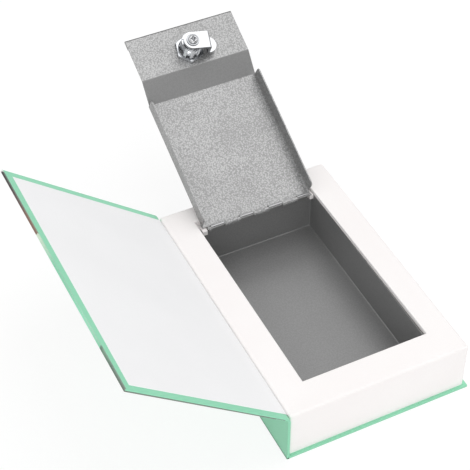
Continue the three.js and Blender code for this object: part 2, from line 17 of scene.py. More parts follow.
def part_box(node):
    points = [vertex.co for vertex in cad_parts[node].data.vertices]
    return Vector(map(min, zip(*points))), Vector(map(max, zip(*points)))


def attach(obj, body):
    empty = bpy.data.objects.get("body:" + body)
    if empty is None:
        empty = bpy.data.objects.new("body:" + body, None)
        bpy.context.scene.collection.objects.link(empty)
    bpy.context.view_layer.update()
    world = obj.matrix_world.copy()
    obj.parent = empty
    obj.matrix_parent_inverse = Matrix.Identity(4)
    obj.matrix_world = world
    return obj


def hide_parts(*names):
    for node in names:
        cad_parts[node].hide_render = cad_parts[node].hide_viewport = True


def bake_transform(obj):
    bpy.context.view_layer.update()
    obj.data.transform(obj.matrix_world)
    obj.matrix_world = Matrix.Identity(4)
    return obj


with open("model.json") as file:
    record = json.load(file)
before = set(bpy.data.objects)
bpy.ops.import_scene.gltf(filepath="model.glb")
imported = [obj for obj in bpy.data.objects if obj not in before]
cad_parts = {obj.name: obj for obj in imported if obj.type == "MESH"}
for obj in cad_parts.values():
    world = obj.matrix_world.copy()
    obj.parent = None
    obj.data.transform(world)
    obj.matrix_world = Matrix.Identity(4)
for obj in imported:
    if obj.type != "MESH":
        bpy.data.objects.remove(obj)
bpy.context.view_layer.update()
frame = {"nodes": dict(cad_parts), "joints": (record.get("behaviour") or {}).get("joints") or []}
joints = {joint["name"]: joint for joint in frame["joints"]}

# %% [markdown]
# All pieces are drawn in millimetres, in the attitude in which they are easiest to draw, and then
# set in place by one matrix that also turns millimetres into metres.

# %% Places of the moving groups
METRES_PER_MM = 0.001
IN_METRES = Matrix.Scale(METRES_PER_MM, 4)


def point_mm(joint):
    return Vector(joints[joint]["pos_m"]) / METRES_PER_MM


lid_open_angle = math.radians(joints["lid_hinge"]["range_deg"][1])
cover_raise_angle = math.radians(39.3)
cam_rest_angle = math.radians(12)

hinge_point = point_mm("lid_hinge")
joint_point = point_mm("front_cover_hinge")
lid_place = Matrix.Translation(hinge_point) @ Matrix.Rotation(-lid_open_angle, 4, "X")
cover_place = Matrix.Translation(joint_point) @ Matrix.Rotation(cover_raise_angle, 4, "Y")
lock_place = (
    Matrix.Translation(point_mm("lock_turn"))
    @ Matrix.Rotation(-lid_open_angle, 4, "X")
    @ Matrix.Rotation(math.pi, 4, "X")
)
turning_place = lock_place @ Matrix.Rotation(-cam_rest_angle, 4, "Z")
print("lid hinge at", tuple(round(value, 2) for value in hinge_point), "mm")

# %% [markdown]
# The camera was found from the photo: it looks down at 44.6 degrees from 26 degrees to the left of
# the book's tail, from about 1.2 m away.

# %% Camera
PHOTO_PIXELS = 470
SENSOR_MM = 36
focal_pixels = 1447.38
camera_azimuth = -0.4533
camera_elevation = 0.7784
camera_roll = -0.004
camera_spot = Vector((-0.40194, -0.69336, 0.88510))

back = Vector((
    math.sin(camera_azimuth) * math.cos(camera_elevation),
    -math.cos(camera_azimuth) * math.cos(camera_elevation),
    math.sin(camera_elevation),
))
level = Vector((0, 0, 1)).cross(back).normalized()
turn = Matrix.Rotation(camera_roll, 3, back)
right = turn @ level
up = back.cross(right)
camera_data = bpy.data.cameras.new("camera")
camera_data.sensor_width = SENSOR_MM
camera_data.lens = focal_pixels / PHOTO_PIXELS * SENSOR_MM
camera = bpy.data.objects.new("camera", camera_data)
bpy.context.scene.collection.objects.link(camera)
camera.matrix_world = Matrix.Translation(camera_spot) @ Matrix((right, up, back)).transposed().to_4x4()
bpy.context.scene.camera = camera
bpy.context.scene.view_settings.view_transform = "Standard"
print("lens", round(camera_data.lens, 2), "mm")


# %% [markdown]
# Two small helpers serve every finish: one turns an sRGB hex colour into the linear colour that
# shaders need, and one adds a node with its settings and links.

# %% Colour and node helpers
def colour(text):
    """An sRGB colour such as #8fdcba, as linear red, green, blue and alpha."""
    parts = [int(text[i:i + 2], 16) / 255 for i in (1, 3, 5)]
    linear = [part / 12.92 if part <= 0.04045 else ((part + 0.055) / 1.055) ** 2.4 for part in parts]
    return (*linear, 1)


def add_node(tree, kind, settings=None, links=None):
    """Adds a node, sets its properties or sockets by name, and links outputs into its sockets."""
    node = tree.nodes.new(kind)
    for name, value in (settings or {}).items():
        if isinstance(name, int) or name in node.inputs:
            node.inputs[name].default_value = value
        else:
            setattr(node, name, value)
    for name, output in (links or {}).items():
        tree.links.new(output, node.inputs[name])
    return node


def new_material(name):
    """An empty node tree with only its output node."""
    material = bpy.data.materials.new(name)
    material.use_nodes = True
    material.node_tree.nodes.clear()
    return material, material.node_tree


def close_material(tree, shader):
    add_node(tree, "ShaderNodeOutputMaterial", links={"Surface": shader.outputs[0]})


def grain(size_mm):
    """The scale of a noise whose cells measure size_mm, on Object coordinates in metres."""
    return 1 / (size_mm * METRES_PER_MM)


# %% [markdown]
# The floor and backdrop are one white sweep. Seen straight or in a reflection it glows white, as a
# lit studio sweep does, and it keeps part of its plain shading, so that the object's shadow shows.

# %% Floor
FLOOR_SIZE = 6
floor_glow_share = 0.8


def seen_straight_or_in_gloss(tree):
    path = add_node(tree, "ShaderNodeLightPath")
    seen = add_node(tree, "ShaderNodeMath", {"operation": "MAXIMUM"},
                    {0: path.outputs["Is Camera Ray"], 1: path.outputs["Is Glossy Ray"]})
    return add_node(tree, "ShaderNodeMath", {"operation": "MAXIMUM"},
                    {0: seen.outputs[0], 1: path.outputs["Is Transmission Ray"]})


def sweep_material():
    material, tree = new_material("studio_sweep")
    seen = seen_straight_or_in_gloss(tree)
    share = add_node(tree, "ShaderNodeMath", {"operation": "MULTIPLY", 1: floor_glow_share},
                     {0: seen.outputs[0]})
    plain = add_node(tree, "ShaderNodeBsdfDiffuse", {"Color": colour("#f7f7f7")})
    glow = add_node(tree, "ShaderNodeEmission", {"Color": colour("#ffffff"), "Strength": 1.06})
    mix = add_node(tree, "ShaderNodeMixShader",
                   links={0: share.outputs[0], 1: plain.outputs[0], 2: glow.outputs[0]})
    close_material(tree, mix)
    return material


bm = bmesh.new()
bmesh.ops.create_grid(bm, x_segments=1, y_segments=1, size=FLOOR_SIZE)
floor_mesh = bpy.data.meshes.new("floor")
bm.to_mesh(floor_mesh)
bm.free()
floor = bpy.data.objects.new("floor", floor_mesh)
floor_mesh.materials.append(sweep_material())
bpy.context.scene.collection.objects.link(floor)

# %% [markdown]
# Product shots of white things use a big soft light overhead and white walls all round. The world
# is the white room, one area lamp above gives the coated lid its broad sheen, and three fills open
# up the sides.

# %% World and lamps
world = bpy.data.worlds.new("white_room")
world.use_nodes = True
world.node_tree.nodes.clear()
room = add_node(world.node_tree, "ShaderNodeBackground", {"Color": colour("#ffffff"), "Strength": 0.585})
seen_room = add_node(world.node_tree, "ShaderNodeBackground", {"Color": colour("#ffffff"), "Strength": 1})
room_mix = add_node(
    world.node_tree, "ShaderNodeMixShader",
    links={0: seen_straight_or_in_gloss(world.node_tree).outputs[0], 1: room.outputs[0],
           2: seen_room.outputs[0]})
add_node(world.node_tree, "ShaderNodeOutputWorld", links={"Surface": room_mix.outputs[0]})
bpy.context.scene.world = world


def soft_lamp(name, spot, target, size, power):
    data = bpy.data.lights.new(name, "AREA")
    data.shape = "SQUARE"
    data.size = size
    data.energy = power
    lamp = bpy.data.objects.new(name, data)
    aim = (Vector(target) - Vector(spot)).to_track_quat("-Z", "Y")
    lamp.matrix_world = Matrix.Translation(spot) @ aim.to_matrix().to_4x4()
    bpy.context.scene.collection.objects.link(lamp)


soft_lamp("overhead_box", (0.46, 0.06, 1.5), (0.46, 0.06, 0), 1.2, 6.9)
soft_lamp("left_fill", (-1.1, 0.35, 1.1), (0, 0.05, 0.05), 1, 1.5)
soft_lamp("right_fill", (1.4, 0.1, 1.1), (0, 0.05, 0.05), 1, 2.8)
soft_lamp("front_fill", (-0.6, -1.6, 0.9), (0, 0, 0.05), 1.2, 9.7)

# %% [markdown]
# In an all-white room plated metal has no outline. Photographers stand black cards beside the lamps
# and let the metal mirror them as thin dark lines. The cards here show in reflections only.

# %% Dark cards
card_material, card_tree = new_material("black_felt_card")
close_material(card_tree, add_node(card_tree, "ShaderNodeBsdfDiffuse", {"Color": colour("#141414")}))


def dark_card(name, spot, target, width, height):
    bm = bmesh.new()
    bmesh.ops.create_grid(bm, x_segments=1, y_segments=1, size=0.5)
    bmesh.ops.scale(bm, verts=bm.verts, vec=(width, height, 1))
    aim = (Vector(target) - Vector(spot)).to_track_quat("Z", "Y")
    bmesh.ops.transform(bm, matrix=Matrix.Translation(spot) @ aim.to_matrix().to_4x4(), verts=bm.verts)
    mesh = bpy.data.meshes.new(name)
    bm.to_mesh(mesh)
    bm.free()
    mesh.materials.append(card_material)
    card = bpy.data.objects.new(name, mesh)
    bpy.context.scene.collection.objects.link(card)
    card.visible_camera = False
    card.visible_diffuse = False
    card.visible_shadow = False


dark_card("front_card", (0.8, -1.8, 1.4), (0, 0.1, 0.05), 1.6, 1.2)
dark_card("right_card", (2.1, 0.5, 0.75), (0, 0.1, 0.05), 1.6, 0.9)
dark_card("back_card", (0.8, 2.6, 0.5), (0, 0.2, 0.1), 2.6, 0.8)


# %% [markdown]
# Powder coat on steel: dry paint is sprayed on as charged dust and baked, and a hammer grade
# shrinks into small dimples. Metal flake in it gives a sheen that depends on the angle of light,
# and a half metallic shader stands in for it. Charged dust hardly reaches into a deep box. The light
# and dark speckle in the lid coat's colour is painted sheen. The coats in the box and on the lid's
# riser, where no sheen falls, are copies with faint speckle and low relief. The dark line along the
# lid's doubled edge is painted shade. The photo also shows no speckle on the lid's riser and a dark
# line along its doubled edge. Why is not known, so these two are matched by eye.

# %% Hammered powder coat
dimple_size = 1.3
coat_cloud_size = 35
coat_cloud_share = 0.25


def powder_coat_material(name, relief_mm, dimple_tone_and_painted_light, ridge_tone_and_painted_light):
    """The size of the dimples is chosen. The real size isn't known: the photo's speckle
    repeats every two pixels or so, which is as fine as its own pixels can hold."""
    material, tree = new_material(name)
    where = add_node(tree, "ShaderNodeTexCoord").outputs["Object"]
    dimples = add_node(
        tree, "ShaderNodeTexVoronoi",
        {"Scale": grain(dimple_size), "feature": "SMOOTH_F1", "Smoothness": 0.15}, {"Vector": where})
    bump = add_node(tree, "ShaderNodeBump", {"Strength": 1, "Distance": relief_mm * METRES_PER_MM},
                    {"Height": dimples.outputs["Distance"]})
    clouds = add_node(tree, "ShaderNodeTexNoise", {"Scale": grain(coat_cloud_size), "Detail": 2},
                      {"Vector": where})
    share = add_node(tree, "ShaderNodeMix", {"data_type": "FLOAT", "Factor": coat_cloud_share},
                     {2: dimples.outputs["Distance"], 3: clouds.outputs["Fac"]})
    # The light and dark speckle of this tint is painted sheen on the lid, and on the hem fold the tint is
    # painted shade.
    tint = add_node(tree, "ShaderNodeValToRGB", links={"Fac": share.outputs[0]})
    tint.color_ramp.elements[0].position = 0.2
    tint.color_ramp.elements[0].color = colour(dimple_tone_and_painted_light)
    tint.color_ramp.elements[1].position = 0.65
    tint.color_ramp.elements[1].color = colour(ridge_tone_and_painted_light)
    coat = add_node(tree, "ShaderNodeBsdfPrincipled", {"Metallic": 0.5, "Roughness": 0.38},
                    {"Base Color": tint.outputs[0], "Normal": bump.outputs[0]})
    close_material(tree, coat)
    return material


# The lid's coat carries painted sheen in its speckle; the box's and the riser's coats are copies without it.
powder_coat = powder_coat_material("hammered_powder_coat", 0.12, "#b0b0b0", "#868686")
box_coat_no_painted_sheen = powder_coat_material("hammered_coat_in_box_no_painted_sheen", 0.03, "#939393", "#8a8a8a")
riser_coat_no_painted_sheen = powder_coat_material("hammered_coat_on_riser_no_painted_sheen", 0.03, "#9a9a9a", "#939393")
# The hem fold's coat is painted shade: a dark line along the lid's doubled edge.
hem_fold_painted_shade = powder_coat_material("painted_shade_coat_on_the_hem_fold", 0.03, "#555555", "#505050")

# %% [markdown]
# The case is covered in printed paper: a coated sheet, as a rule with a thin film over it. The film
# gives a soft gloss, and the fibres below it a faint unevenness.

# %% Printed papers and endpaper
fibre_size = 0.9
paper_cloud_size = 60
paper_relief = 0.03


def paper_material(name, base, deep, roughness, coat_weight):
    material, tree = new_material(name)
    where = add_node(tree, "ShaderNodeTexCoord").outputs["Object"]
    fibres = add_node(tree, "ShaderNodeTexNoise", {"Scale": grain(fibre_size), "Detail": 4},
                      {"Vector": where})
    clouds = add_node(tree, "ShaderNodeTexNoise", {"Scale": grain(paper_cloud_size), "Detail": 2},
                      {"Vector": where})
    both = add_node(tree, "ShaderNodeMath", {"operation": "MULTIPLY"},
                    {0: fibres.outputs["Fac"], 1: clouds.outputs["Fac"]})
    tint = add_node(tree, "ShaderNodeValToRGB", links={"Fac": both.outputs[0]})
    tint.color_ramp.elements[0].position = 0.15
    tint.color_ramp.elements[0].color = colour(deep)
    tint.color_ramp.elements[1].position = 0.4
    tint.color_ramp.elements[1].color = colour(base)
    bump = add_node(tree, "ShaderNodeBump",
                    {"Strength": 0.15, "Distance": paper_relief * METRES_PER_MM},
                    {"Height": fibres.outputs["Fac"]})
    sheet = add_node(
        tree, "ShaderNodeBsdfPrincipled",
        {"Roughness": roughness, "Coat Weight": coat_weight, "Coat Roughness": 0.3},
        {"Base Color": tint.outputs[0], "Normal": bump.outputs[0]})
    close_material(tree, sheet)
    return material


mint_paper = paper_material("mint_printed_paper", "#92dcb8", "#8bd5b0", 0.5, 0.15)
endpaper_paper = paper_material("white_endpaper", "#f9f9fa", "#f6f6f7", 0.8, 0)
board_paper = paper_material("greyboard", "#9a9288", "#857e75", 0.9, 0)
shell_white = paper_material("white_moulded_shell", "#fbf8f7", "#f9f5f4", 0.6, 0)


# %% [markdown]
# Only the edge of the front cover's printing shows in the photo: dark brown at the head, mint along
# the middle and grey-green at the tail. The design here is plain bands of those colours with an
# empty label. It reads a map that follows the sheet over the cover's edges, in millimetres.

# %% Printed cover paper
SHEET_MAP = "sheet_mm"
cover_half_length = 120
cover_reach = 160.9
cover_thickness = 2.25
# The paler mint at -61 and -44 mm is partly print and partly a painted highlight line along the edge.
print_bands = [
    (-120, "#6c776c"), (-112, "#6f8478"), (-97, "#637b6d"), (-84, "#74957f"), (-79, "#5d7467"),
    (-78, "#8fd6b3"), (-61, "#a6e6c6"), (-44, "#9be8c4"), (-20, "#8fd8b4"), (10, "#8bd8b3"), (22, "#b4e2c6"),
    (43, "#dceed6"), (44, "#83604e"), (64, "#7c5946"), (81, "#59443f"), (99, "#322424"), (120, "#1c2119"),
]
print_margin = 14
print_turn_in = 0.9
# On the head and tail edges the band colour covers the lower 1.3 mm, which shows as a dark line along each;
# the rest of each edge is mint.
band_reach_on_ends = 1.3
print_edge_blur = 0.3
print_end_blur = 0.2
pale_edge_start = 1.4
pale_edge_end = 2.4
pale_edge_share = 0.35
label_middle = (92, 0)
label_half = (34, 22)
label_frame_span = 4


def printed_cover_material():
    material, tree = new_material("banded_cover_paper")
    sheet_map = add_node(tree, "ShaderNodeUVMap", {"uv_map": SHEET_MAP})
    place = add_node(tree, "ShaderNodeSeparateXYZ", links={"Vector": sheet_map.outputs["UV"]})
    across, along = place.outputs["X"], place.outputs["Y"]
    height = add_node(
        tree, "ShaderNodeMapRange", {"From Min": -cover_half_length, "From Max": cover_half_length},
        {"Value": along})
    bands = add_node(tree, "ShaderNodeValToRGB", links={"Fac": height.outputs[0]})
    stops = bands.color_ramp.elements
    for (at, text), stop in zip(print_bands, [*stops, *[stops.new(0.5) for _ in print_bands[2:]]]):
        stop.position = (at + cover_half_length) / (2 * cover_half_length)
        stop.color = colour(text)
    mint = colour("#92dcb8")

    def limit(value, start, end):
        return add_node(tree, "ShaderNodeMapRange", {"From Min": start, "From Max": end},
                        {"Value": value}).outputs[0]

    def blend(factor, first, second):
        mix = add_node(tree, "ShaderNodeMix", {"data_type": "RGBA"})
        sockets = (mix.inputs["Factor"], mix.inputs[6], mix.inputs[7])
        for socket, value in zip(sockets, (factor, first, second)):
            if isinstance(value, tuple):
                socket.default_value = value
            else:
                tree.links.new(value, socket)
        return mix.outputs[2]

    # Towards its inner corner the fore edge turns lighter and greyer.
    paler_fore_edge = add_node(
        tree, "ShaderNodeMapRange",
        {"From Min": cover_reach + pale_edge_start, "From Max": cover_reach + pale_edge_end, "To Max": pale_edge_share},
        {"Value": across})
    sides = [blend(paler_fore_edge.outputs[0], bands.outputs["Color"], colour("#a8bdb0"))]
    print_end = cover_reach + cover_thickness + print_turn_in
    half_end = cover_half_length + band_reach_on_ends
    for value, start, end in (
            (across, print_margin, print_margin + print_edge_blur),
            (across, print_end + print_edge_blur, print_end),
            (along, -half_end - print_end_blur, -half_end),
            (along, half_end + print_end_blur, half_end)):
        sides.append(blend(limit(value, start, end), mint, sides[-1]))
    distances = []
    for value, middle, half in zip((across, along), label_middle, label_half):
        offset = add_node(tree, "ShaderNodeMath", {"operation": "SUBTRACT", 1: middle}, {0: value})
        offset = add_node(tree, "ShaderNodeMath", {"operation": "ABSOLUTE"}, {0: offset.outputs[0]})
        distances.append(
            add_node(tree, "ShaderNodeMath", {"operation": "SUBTRACT", 1: half}, {0: offset.outputs[0]}))
    outline = add_node(tree, "ShaderNodeMath", {"operation": "MAXIMUM"},
                       {0: distances[0].outputs[0], 1: distances[1].outputs[0]})
    edge = add_node(tree, "ShaderNodeMapRange", {"From Min": -label_frame_span, "From Max": label_frame_span},
                    {"Value": outline.outputs[0]})
    label = add_node(tree, "ShaderNodeValToRGB", links={"Fac": edge.outputs[0]})
    label.color_ramp.interpolation = "CONSTANT"
    for position, text in ((0.25, "#5d3c31"), (0.3, "#ece9dc"), (0.42, "#5d3c31")):
        label.color_ramp.elements.new(position).color = colour(text)
    label.color_ramp.elements[0].color = colour("#ece9dc")
    label.color_ramp.elements[-1].position = 0.5
    outside = add_node(tree, "ShaderNodeMath", {"operation": "GREATER_THAN", 1: 0}, {0: outline.outputs[0]})
    face = blend(outside.outputs[0], label.outputs["Color"], sides[-1])
    fibres = add_node(tree, "ShaderNodeTexNoise", {"Scale": grain(fibre_size), "Detail": 4},
                      {"Vector": add_node(tree, "ShaderNodeTexCoord").outputs["Object"]})
    bump = add_node(tree, "ShaderNodeBump",
                    {"Strength": 0.15, "Distance": paper_relief * METRES_PER_MM},
                    {"Height": fibres.outputs["Fac"]})
    paper = add_node(
        tree, "ShaderNodeBsdfPrincipled",
        {"Roughness": 0.5, "Coat Weight": 0.15, "Coat Roughness": 0.3},
        {"Base Color": face, "Normal": bump.outputs[0]})
    close_material(tree, paper)
    return material


banded_paper = printed_cover_material()


# %% [markdown]
# A cam lock is die-cast and pressed metal with a bright zinc plate, and its wafers are brass.

# %% Metals
plate_relief = 0.02


def metal_material(name, base, roughness, grain_mm):
    material, tree = new_material(name)
    where = add_node(tree, "ShaderNodeTexCoord").outputs["Object"]
    wear = add_node(tree, "ShaderNodeTexNoise", {"Scale": grain(grain_mm), "Detail": 3}, {"Vector": where})
    rough = add_node(tree, "ShaderNodeMapRange", {"To Min": roughness * 0.8, "To Max": roughness * 1.25},
                     {"Value": wear.outputs["Fac"]})
    bump = add_node(tree, "ShaderNodeBump", {"Strength": 0.1, "Distance": plate_relief * METRES_PER_MM},
                    {"Height": wear.outputs["Fac"]})
    metal = add_node(
        tree, "ShaderNodeBsdfPrincipled", {"Base Color": colour(base), "Metallic": 1},
        {"Roughness": rough.outputs[0], "Normal": bump.outputs[0]})
    close_material(tree, metal)
    return material


zinc_plate = metal_material("bright_zinc_plate", "#bec0c3", 0.26, 0.8)
polished_plate = metal_material("polished_nickel_plate", "#b1b2b4", 0.16, 1.2)
dull_plate = metal_material("dull_zinc_washer", "#a6a8ab", 0.3, 0.8)
drawn_wire = metal_material("drawn_zinc_wire", "#b4b4b4", 0.35, 0.8)
rubbed_steel = metal_material("coat_rubbed_to_steel", "#bcbcbd", 0.36, 1.0)
stamped_brass = metal_material("stamped_brass", "#b59a5a", 0.35, 0.6)

# The lid's coat carries painted sheen in its speckle; the box's coat is a copy without it.
node_finishes = {
    "back_cover_wrap": mint_paper, "back_board": board_paper, "back_endpaper": endpaper_paper,
    "spine_wrap": mint_paper, "spine_board": board_paper, "spine_lining": endpaper_paper,
    "page_block": shell_white, "steel_box": box_coat_no_painted_sheen, "hinge_pin": drawn_wire,
    "front_cover_wrap": mint_paper, "front_board": board_paper, "front_endpaper": endpaper_paper,
    "steel_lid": powder_coat, "lock_housing": zinc_plate, "lock_nut": zinc_plate,
    "key_plug": zinc_plate, "stop_washer": zinc_plate, "cam": polished_plate,
    "cam_washer": zinc_plate, "cam_screw": polished_plate,
}
for index in range(1, 6):
    node_finishes[f"wafer_{index}"] = stamped_brass
for name, finish in node_finishes.items():
    mesh = frame["nodes"][name].data
    mesh.materials.clear()
    mesh.materials.append(finish)
print("finished", len(node_finishes), "nodes")

# %% [markdown]
# Every fine piece below is drawn with mesh operators and then finished by one helper. It turns the
# drawing into metres, gives sheet its thickness, rounds cut edges, evens the shading of flat faces
# and lets the piece ride on its body in place of the plain solid.

# %% Mesh helpers
TOUCH = 0.001
FACING_UP = 0.9
DRAWN_IN_PLACE = Matrix.Identity(4)


def row_of(bm, points):
    """Vertices at the points, joined into a row of edges."""
    verts = [bm.verts.new(point) for point in points]
    return [bm.edges.new(pair) for pair in zip(verts, verts[1:])]


def verts_of(edges):
    return list({vert for edge in edges for vert in edge.verts})


def carry(bm, edges, step):
    """Draws edges along by step with faces behind them, and returns the new edges."""
    drawn = bmesh.ops.extrude_edge_only(bm, edges=edges)["geom"]
    verts = [item for item in drawn if isinstance(item, bmesh.types.BMVert)]
    bmesh.ops.translate(bm, verts=verts, vec=step)
    return [item for item in drawn if isinstance(item, bmesh.types.BMEdge)
            and all(vert in verts for vert in item.verts)]


def edges_where(bm, test):
    return [edge for edge in bm.edges if all(test(vert.co) for vert in edge.verts)]


def round_off(bm, edges, size, steps):
    bmesh.ops.bevel(bm, geom=edges, offset=size, segments=steps, profile=0.5, affect="EDGES",
                    material=-1, clamp_overlap=True)


def slab(bm, low, high):
    """A block between two corners, as new vertices of the bmesh."""
    low, high = Vector(low), Vector(high)
    verts = bmesh.ops.create_cube(bm, size=1)["verts"]
    bmesh.ops.scale(bm, verts=verts, vec=high - low)
    bmesh.ops.translate(bm, verts=verts, vec=(low + high) / 2)
    return verts


def turned(bm, profile, steps=64):
    """A closed ring or a solid of revolution round Z, from its section as radius and height."""
    row = row_of(bm, [(radius, 0, height) for radius, height in profile])
    bmesh.ops.spin(bm, geom=row + verts_of(row), cent=(0, 0, 0), axis=(0, 0, 1), dvec=(0, 0, 0),
                   angle=math.tau, steps=steps, use_merge=True)
    bmesh.ops.remove_doubles(bm, verts=bm.verts, dist=TOUCH)


def new_piece(name, bm, place, finish):
    bmesh.ops.transform(bm, matrix=IN_METRES @ place, verts=bm.verts)
    bmesh.ops.recalc_face_normals(bm, faces=bm.faces)
    mesh = bpy.data.meshes.new(name)
    bm.to_mesh(mesh)
    bm.free()
    mesh.shade_smooth()
    for one in finish if isinstance(finish, list) else [finish]:
        mesh.materials.append(one)
    piece = bpy.data.objects.new(name, mesh)
    bpy.context.scene.collection.objects.link(piece)
    return piece


def bake(piece):
    """Makes the modifiers' result the piece's own mesh."""
    bpy.context.view_layer.update()
    depsgraph = bpy.context.evaluated_depsgraph_get()
    plain = piece.data
    piece.data = bpy.data.meshes.new_from_object(
        piece.evaluated_get(depsgraph), preserve_all_data_layers=True, depsgraph=depsgraph)
    piece.data.name = piece.name
    piece.modifiers.clear()
    bpy.data.meshes.remove(plain)


def finish_piece(piece, body, nodes, sheet_mm=0, edge_mm=0, edge_angle=50, cutter=None,
                 keep="DIFFERENCE"):
    """Thickness, cuts, rounded edges and even shading, then the piece rides on its body."""
    if sheet_mm:
        wall = piece.modifiers.new("sheet", "SOLIDIFY")
        wall.thickness = sheet_mm * METRES_PER_MM
        wall.offset = 0
        wall.use_even_offset = True
    if cutter:
        cut = piece.modifiers.new("cut", "BOOLEAN")
        cut.operation = keep
        cut.object = cutter
        cut.solver = "EXACT"
        cut.use_self = True
    if edge_mm:
        soft = piece.modifiers.new("edges", "BEVEL")
        soft.width = edge_mm * METRES_PER_MM
        soft.segments = 2
        soft.limit_method = "ANGLE"
        soft.angle_limit = math.radians(edge_angle)
    else:
        piece.data.set_sharp_from_angle(angle=math.radians(edge_angle))
    even = piece.modifiers.new("even", "WEIGHTED_NORMAL")
    even.keep_sharp = True
    bake(piece)
    if cutter:
        bpy.data.objects.remove(cutter)
    if body:
        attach(piece, body)
    if nodes:
        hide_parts(*nodes)
    print(piece.name, len(piece.data.polygons), "faces")


# %% [markdown]
# The lid is one sheet of steel, taken to be 1 mm thick. It is drawn as the middle of the sheet: a
# row of edges as wide as the lid is carried from the hinge to the free end, rising and falling with
# the folds. Notches are cut where the box's knuckles stand, and the strips left between them are
# rolled round the pin by a spin. Drawing the middle lets one thickness serve every fold.

# %% Steel lid
SHEET = 1
HALF_SHEET = SHEET / 2
SHEET_EDGE = 0.16
pin_radius = 1
pin_clearance = 0.25
roll_radius = pin_radius + pin_clearance + HALF_SHEET
lid_roll_angle = math.radians(215)
roll_steps = 16
knuckle_width = 12
knuckle_count = 4
knuckle_clearance = 0.3
notch_width = knuckle_width + 2 * knuckle_clearance
notch_margin = 0.6
notch_depth = roll_radius + HALF_SHEET + notch_margin
first_notch_offset = 6.5
last_notch_offset = 1.5
lid_length = 179.6
lock_panel_length = 39.6
riser_run = 20
riser_drop = 9.08
hem_length = 8
hem_gap = 0.25
hem_radius = HALF_SHEET + hem_gap
flange_depth = 12.7
flange_start = 4.5
flange_riser_gap = 0.6
land_inset = 4.4
flange_corner = 3
crease_offset = 19
crease_half_width = 0.9
crease_depth = 0.22
fold_radius = 1.4
riser_fold = 0.55

lid_low, lid_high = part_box("steel_lid")
lid_half = (lid_high.x - lid_low.x) / 2 / METRES_PER_MM
lid_side = lid_half - HALF_SHEET
last_notch = 2 * lid_half - last_notch_offset - notch_width
notch_pitch = (last_notch - first_notch_offset) / (knuckle_count - 1)
notches = [-lid_half + first_notch_offset + i * notch_pitch for i in range(knuckle_count)]
riser_start = lid_length - lock_panel_length - riser_run
lock_panel_level = roll_radius - riser_drop
flange_end = riser_start - flange_riser_gap
hem_axis = lid_length - hem_radius - HALF_SHEET

bm = bmesh.new()
columns = [-lid_side, land_inset - lid_side]
for notch in notches:
    columns += [notch, notch + notch_width]
columns += [lid_side]
lid_stations = [
    (0, roll_radius), (notch_depth, roll_radius), (flange_start, roll_radius),
    (crease_offset - crease_half_width, roll_radius), (crease_offset, roll_radius + crease_depth),
    (crease_offset + crease_half_width, roll_radius), (flange_end, roll_radius),
    (riser_start, roll_radius), (riser_start + riser_run, lock_panel_level),
    (hem_axis, lock_panel_level),
]
row = row_of(bm, [(x, 0, roll_radius) for x in columns])
riser_rows = []
for (start, level), (end, next_level) in zip(lid_stations, lid_stations[1:]):
    row = carry(bm, row, (0, start - end, next_level - level))
    if end in (riser_start, riser_start + riser_run):
        riser_rows += row
bmesh.ops.spin(bm, geom=row, cent=(0, -hem_axis, lock_panel_level + hem_radius), axis=(1, 0, 0),
               dvec=(0, 0, 0), angle=-math.pi, steps=6)
hem_row = edges_where(bm, lambda co: co.z > lock_panel_level + 2 * hem_radius - TOUCH
                      and co.y < TOUCH - hem_axis)
carry(bm, hem_row, (0, hem_length - hem_radius - HALF_SHEET, 0))


def in_a_notch(face):
    centre = face.calc_center_median()
    side = not land_inset - lid_side < centre.x < notches[-1]
    side = side or any(0 < centre.x - notch < notch_width for notch in notches)
    return side and centre.y > -notch_depth


bmesh.ops.delete(bm, geom=[face for face in bm.faces if in_a_notch(face)], context="FACES")
lands = edges_where(bm, lambda co: co.y > -TOUCH)
bmesh.ops.spin(bm, geom=lands, cent=(0, 0, 0), axis=(1, 0, 0), dvec=(0, 0, 0), angle=-lid_roll_angle,
               steps=roll_steps)
round_off(bm, riser_rows, riser_fold, 3)
flange_folds = []
for side in (-1, 1):
    fold = edges_where(bm, lambda co: abs(co.x - side * lid_side) < TOUCH
                       and -flange_end - TOUCH < co.y < TOUCH - flange_start
                       and co.z > 0)
    tip = verts_of(carry(bm, fold, (0, 0, -flange_depth)))
    for vert in tip:
        vert.co.z = roll_radius - HALF_SHEET - flange_depth
    ends = [min(tip, key=lambda vert: vert.co.y), max(tip, key=lambda vert: vert.co.y)]
    bmesh.ops.bevel(bm, geom=ends, offset=flange_corner, segments=3, profile=0.5, affect="VERTICES",
                    material=-1)
    flange_folds += fold
round_off(bm, flange_folds, fold_radius, 4)
bm.normal_update()
leaning = 0.2
# The hem fold's faces take the coat with painted shade, and the riser's faces the copy without painted sheen.
for face in bm.faces:
    along_lid = face.calc_center_median().y
    leans = abs(face.normal.y) > leaning and abs(face.normal.x) < leaning
    if along_lid < -hem_axis:
        face.material_index = 1
    elif leans and along_lid < -riser_start:
        face.material_index = 2
lid = new_piece("lid_sheet", bm, lid_place, [powder_coat, hem_fold_painted_shade, riser_coat_no_painted_sheen])
finish_piece(lid, "lid", ["steel_lid"], sheet_mm=SHEET, edge_mm=SHEET_EDGE)

# %% [markdown]
# The box is drawn as the same sheet, folded up and closed at its corners. It starts as an open cube
# at the middle of the sheet. The wall at the tail, which the photo hides, is cut lower and folded in
# and down, to make the lip that the cam catches under. The wall at the head is folded forward between
# two corner notches, and its tabs go up behind the pin and curl forward over it, so that a line of
# the pin shows below each.

